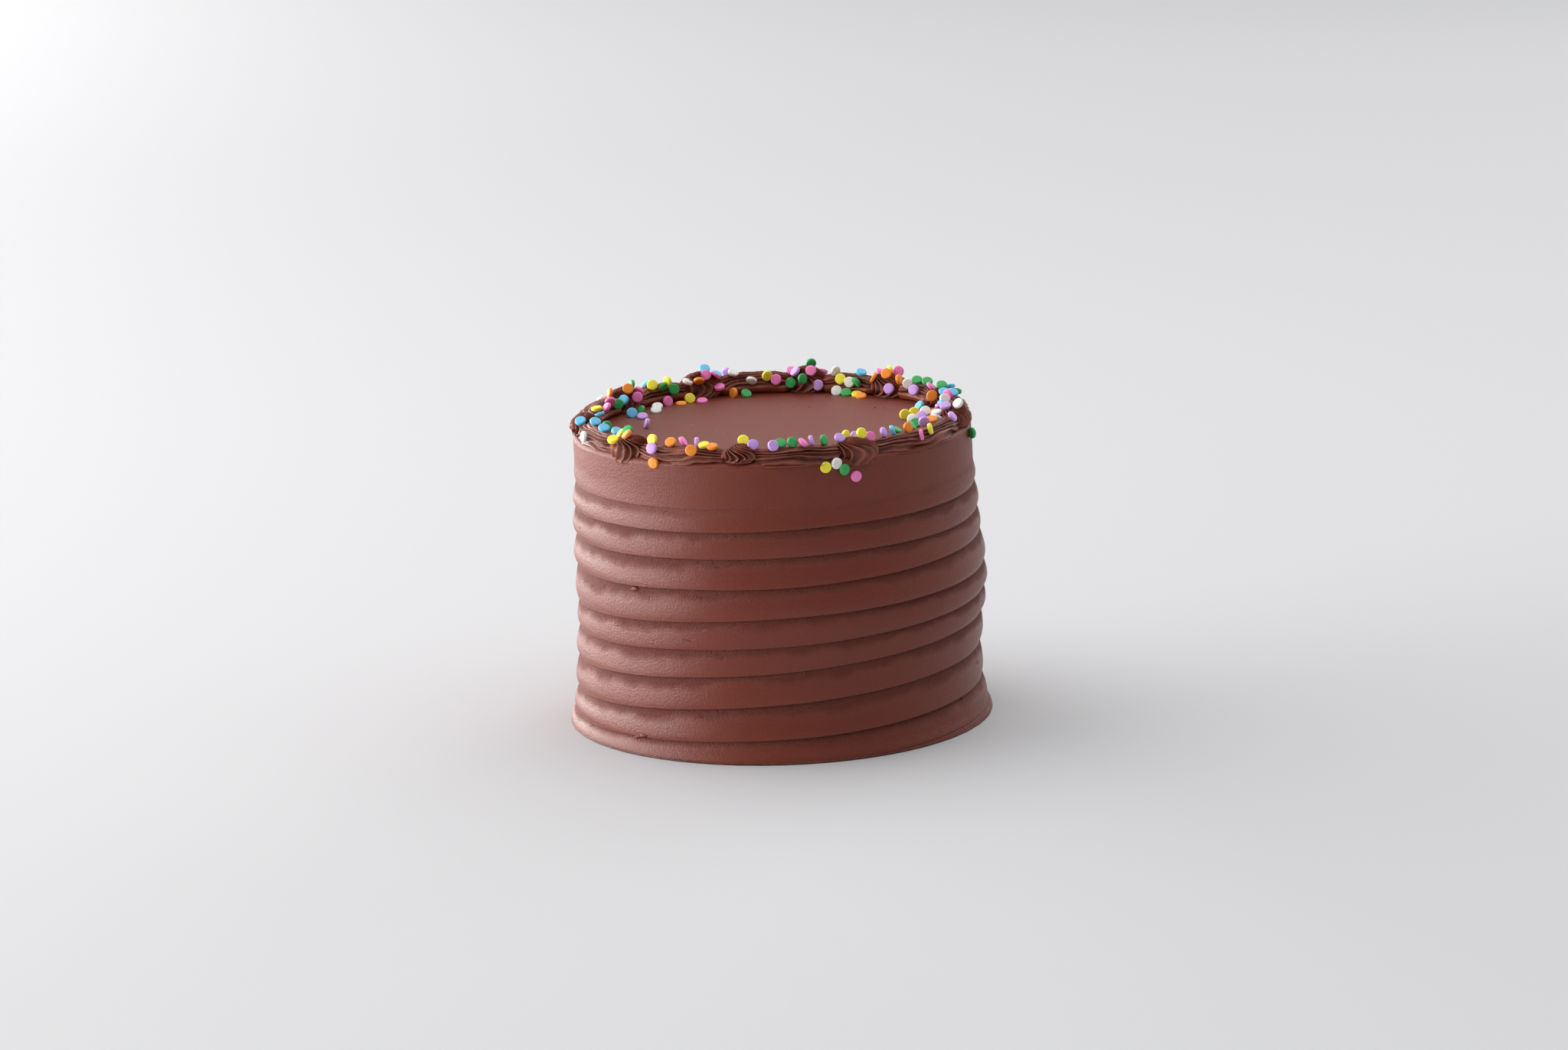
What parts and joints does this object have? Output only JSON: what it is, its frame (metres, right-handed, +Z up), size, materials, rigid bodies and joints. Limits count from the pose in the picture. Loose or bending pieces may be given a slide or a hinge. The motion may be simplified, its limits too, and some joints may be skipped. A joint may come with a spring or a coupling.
{
  "type": "chocolate cake",
  "caption": "Tall round chocolate layer cake with spatula-banded icing, a piped rosette and garland border, and pastel sugar confetti round the rim.",
  "frame": {"origin": "centre of the flat base, on the surface that the cake stands on", "axes": "+Z up, -Y towards the shown front, +X to the front view's right"},
  "size_m": [0.2239, 0.223, 0.1716],
  "materials": {
    "icing": "satin chocolate buttercream, smoothed in bands with a spatula",
    "piping": "satin piped chocolate buttercream with fine ribs",
    "sugar": "smooth sugar confetti in pink, lilac, yellow, orange, green, blue and white"
  },
  "bodies": {
    "root": {"iced_cake": "icing", "rosette_01": "piping", "rosette_02": "piping", "rosette_03": "piping", "rosette_04": "piping", "rosette_05": "piping", "rosette_06": "piping", "rosette_07": "piping", "rosette_08": "piping", "rosette_09": "piping", "rosette_10": "piping", "garland_01": "piping", "garland_02": "piping", "garland_03": "piping", "garland_04": "piping", "garland_05": "piping", "garland_06": "piping", "garland_07": "piping", "garland_08": "piping", "garland_09": "piping", "garland_10": "piping"}
  },
  "joints": []
}
